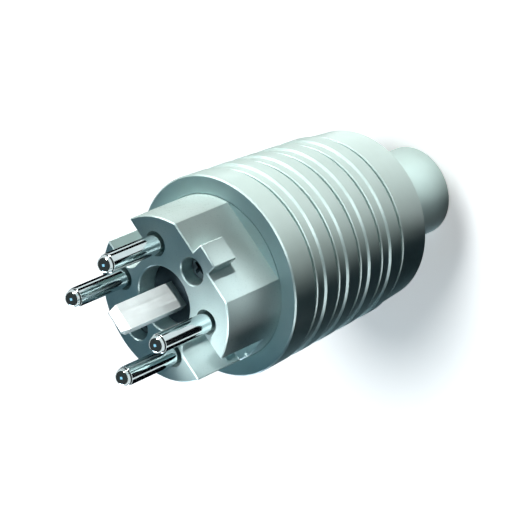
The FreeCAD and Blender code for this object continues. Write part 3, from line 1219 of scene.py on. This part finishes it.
def add_edge_lamps(settings):
    """Lights that only the gloss of the mouldings shows, so they draw bright lines on edges and ramps."""
    places = [(-10, 26, 1.0), (-50, 37, 0.5), (-95, 47, 1.0), (-172, 36, 1.0)]
    mouldings = [housing_name, outlet_name, carrier_name]
    for number, (azimuth, elevation, share) in enumerate(places, 1):
        name = "edge_light_%d" % number
        power = share * settings.edge_power
        lamp = add_lamp(name, around(azimuth, elevation), edge_size, power, edge_colour, mouldings)
        lamp.visible_diffuse = False


def add_accents(settings):
    """Narrow lights on the carrier's corner, slot and flat, on the blade and on the outlet."""
    add_accent("tip_light", (-60, 60), (-19, -8, carrier_face), 18, settings.tip_power, carrier_name)
    add_accent("slot_light", (-95, 45), (-15, 5.5, 93), 8, settings.slot_power, carrier_name)
    add_accent("flat_light", (-55, 8), (-10.5, -18, 93.5), 10.5, settings.flat_power, carrier_name)
    add_accent("blade_light", (-85, 20), (0, 0, 104), 20, settings.blade_power, "flat_earth_blade")
    add_accent("outlet_light", (-80, 5), (-0.5, -11, 9), 11, settings.outlet_power, outlet_name)


def add_camera():
    """The camera at the photograph's place and angle."""
    data = bpy.data.cameras.new("photo_camera")
    data.lens = camera_lens
    data.sensor_width = 36.0
    data.clip_start = 0.05
    camera = bpy.data.objects.new("photo_camera", data)
    bpy.context.scene.collection.objects.link(camera)
    aim(camera, camera_place, camera_target, math.radians(camera_roll))
    return camera


class PLUG_OT_set_stage(bpy.types.Operator):
    """Set the floor, the lamps, the black cards and the camera"""

    bl_idname = "plug.set_stage"
    bl_label = "Stage"

    def execute(self, context):
        settings = context.scene.plug_studio
        floor = add_floor()
        add_soft_lamps(settings)
        add_edge_lamps(settings)
        add_accents(settings)
        add_floor_light(-62, 66, settings.floor_strength, floor)
        add_dark_card("dark_card_front", (-0.086, -0.080, 0.001), (0.1, 0.14), -137.0)
        add_dark_card("dark_card_side", (0.093, -0.058, 0.003), (0.13, 0.07), -32.0)
        add_dark_card("dark_card_near", (-0.062, -0.015, 0.002), (0.07, 0.1), 0.0)
        add_dark_card("dark_card_behind", (0.0, 0.125, 0.001), (0.34, 0.24), 0.0)
        set_world(settings.fill_strength, settings.ceiling_strength)
        context.scene.camera = add_camera()
        context.scene.view_settings.view_transform = "Standard"
        return {"FINISHED"}


class PLUG_PT_panel(bpy.types.Panel):
    """The plug's pieces and its stage"""

    bl_label = "Industrial plug"
    bl_idname = "PLUG_PT_panel"
    bl_space_type = "VIEW_3D"
    bl_region_type = "UI"
    bl_category = "Plug"

    def draw(self, context):
        column = self.layout.column()
        for operator in operators:
            column.operator(operator.bl_idname, text=operator.bl_label)
        for group in (context.scene.plug_sizes, context.scene.plug_colours, context.scene.plug_studio):
            for name in group.__annotations__:
                column.prop(group, name)


operators = [
    PLUG_OT_make_housing,
    PLUG_OT_make_cable_outlet,
    PLUG_OT_make_contact_carrier,
    PLUG_OT_make_pins,
    PLUG_OT_make_earth_blade,
    PLUG_OT_make_earth_plate,
    PLUG_OT_make_fixing_screws,
    PLUG_OT_dress_inner_pieces,
    PLUG_OT_set_stage,
]
classes = [PlugSizes, PlugColours, StudioSettings] + operators + [PLUG_PT_panel]


def register():
    """Registers the classes and hangs their settings on the scene."""
    for item in classes:
        bpy.utils.register_class(item)
    bpy.types.Scene.plug_sizes = bpy.props.PointerProperty(type=PlugSizes)
    bpy.types.Scene.plug_colours = bpy.props.PointerProperty(type=PlugColours)
    bpy.types.Scene.plug_studio = bpy.props.PointerProperty(type=StudioSettings)


def unregister():
    """Takes the settings and the classes away again."""
    del bpy.types.Scene.plug_studio
    del bpy.types.Scene.plug_colours
    del bpy.types.Scene.plug_sizes
    for item in reversed(classes):
        bpy.utils.unregister_class(item)


def main():
    """Makes every piece and the stage."""
    register()
    bpy.ops.plug.make_housing()
    bpy.ops.plug.make_cable_outlet()
    bpy.ops.plug.make_contact_carrier()
    bpy.ops.plug.make_pins()
    bpy.ops.plug.make_earth_blade()
    bpy.ops.plug.make_earth_plate()
    bpy.ops.plug.make_fixing_screws()
    bpy.ops.plug.dress_inner_pieces()
    bpy.ops.plug.set_stage()


if __name__ == "__main__":
    main()
